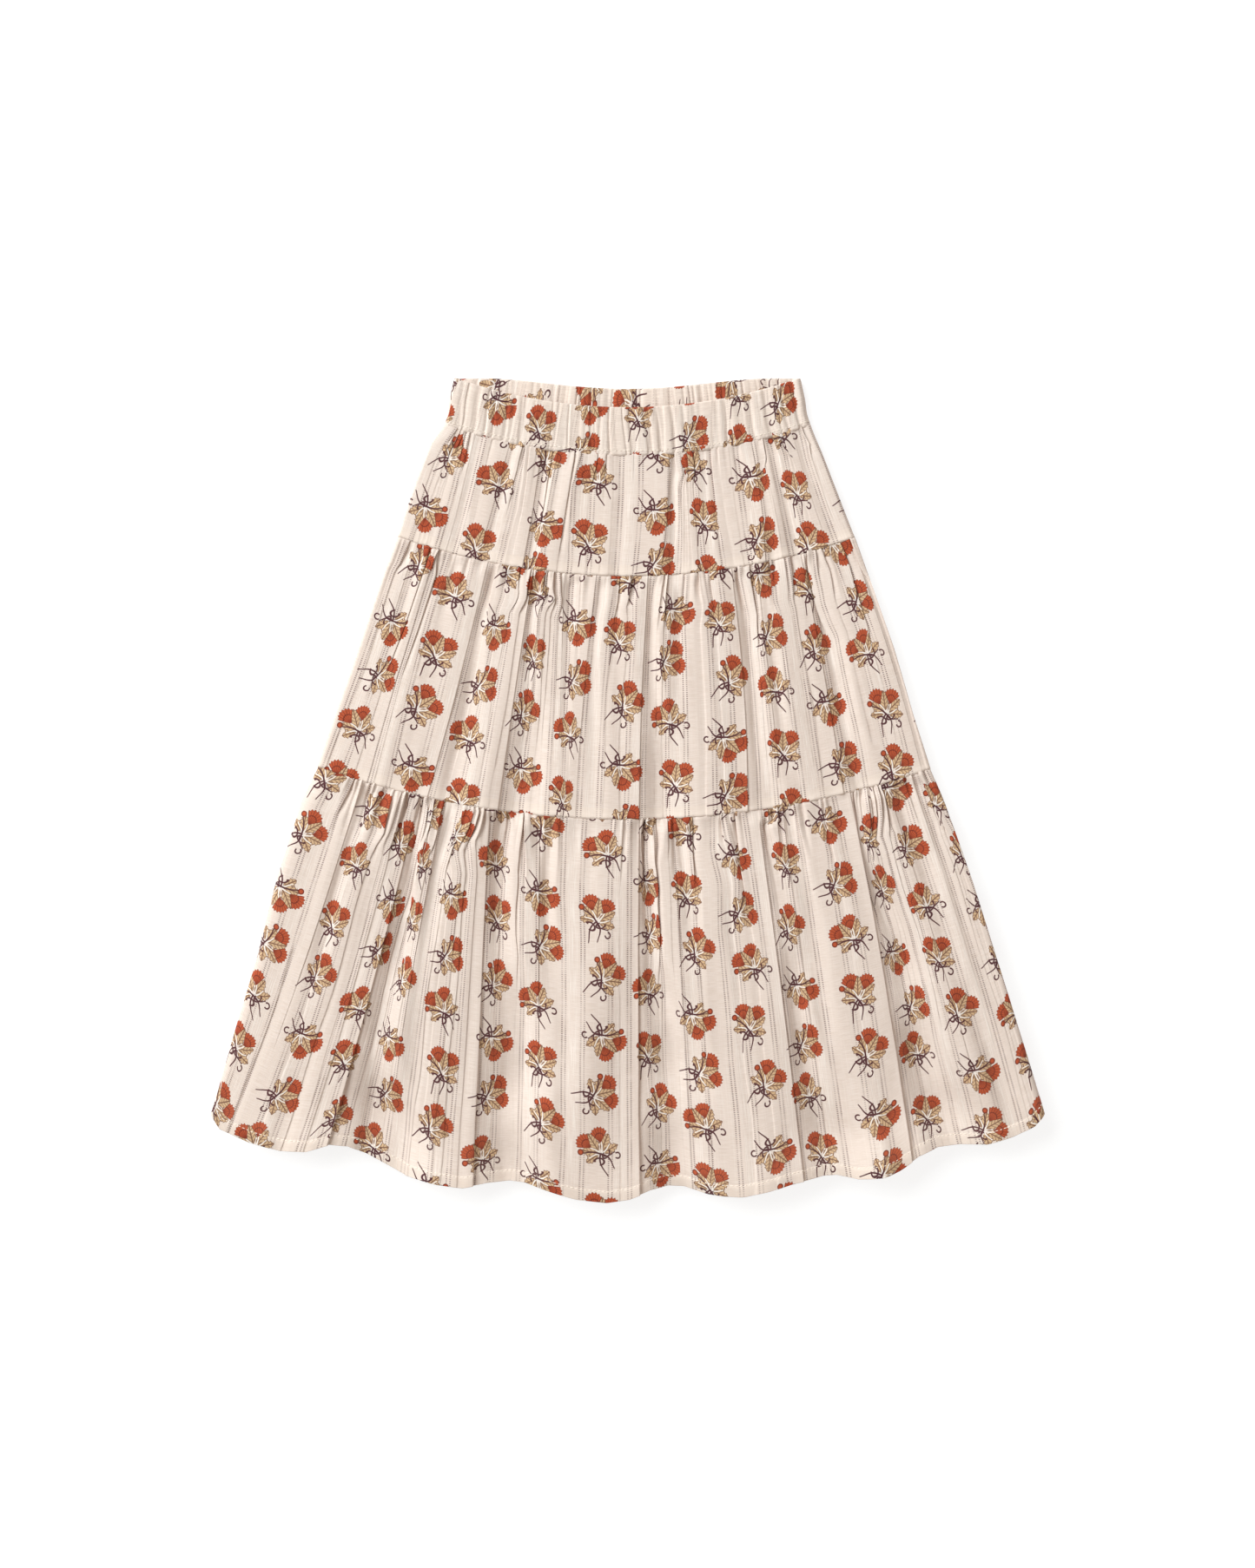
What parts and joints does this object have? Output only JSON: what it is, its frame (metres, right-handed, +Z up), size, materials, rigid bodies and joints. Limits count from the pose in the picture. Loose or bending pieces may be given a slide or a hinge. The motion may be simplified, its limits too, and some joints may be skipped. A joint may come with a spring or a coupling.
{
  "type": "tiered ruffle skirt",
  "caption": "Child's gathered cotton midi skirt with an elastic waistband and stacked ruffle tiers, laid flat with its front up.",
  "frame": {"origin": "on the surface that the skirt lies on, under the middle of its bounding box", "axes": "+Z up from the surface, out of the skirt's front; +Y towards the waist; +X to the right as seen from above"},
  "size_m": [0.6062, 0.6028, 0.0235],
  "materials": {
    "waistband": "matte cream cotton with a small floral print, gathered on elastic",
    "top_tier_front": "matte cream cotton with woven stripes and a small floral print",
    "top_tier_back": "matte cream cotton with woven stripes and a small floral print",
    "middle_tier_front": "matte cream cotton with woven stripes and a small floral print",
    "middle_tier_back": "matte cream cotton with woven stripes and a small floral print",
    "bottom_tier_front": "matte cream cotton with woven stripes and a small floral print",
    "bottom_tier_back": "matte cream cotton with woven stripes and a small floral print"
  },
  "bodies": {
    "root": {"waistband": "waistband", "top_tier_front": "top_tier_front", "top_tier_back": "top_tier_back", "middle_tier_front": "middle_tier_front", "middle_tier_back": "middle_tier_back", "bottom_tier_front": "bottom_tier_front", "bottom_tier_back": "bottom_tier_back"}
  },
  "joints": []
}
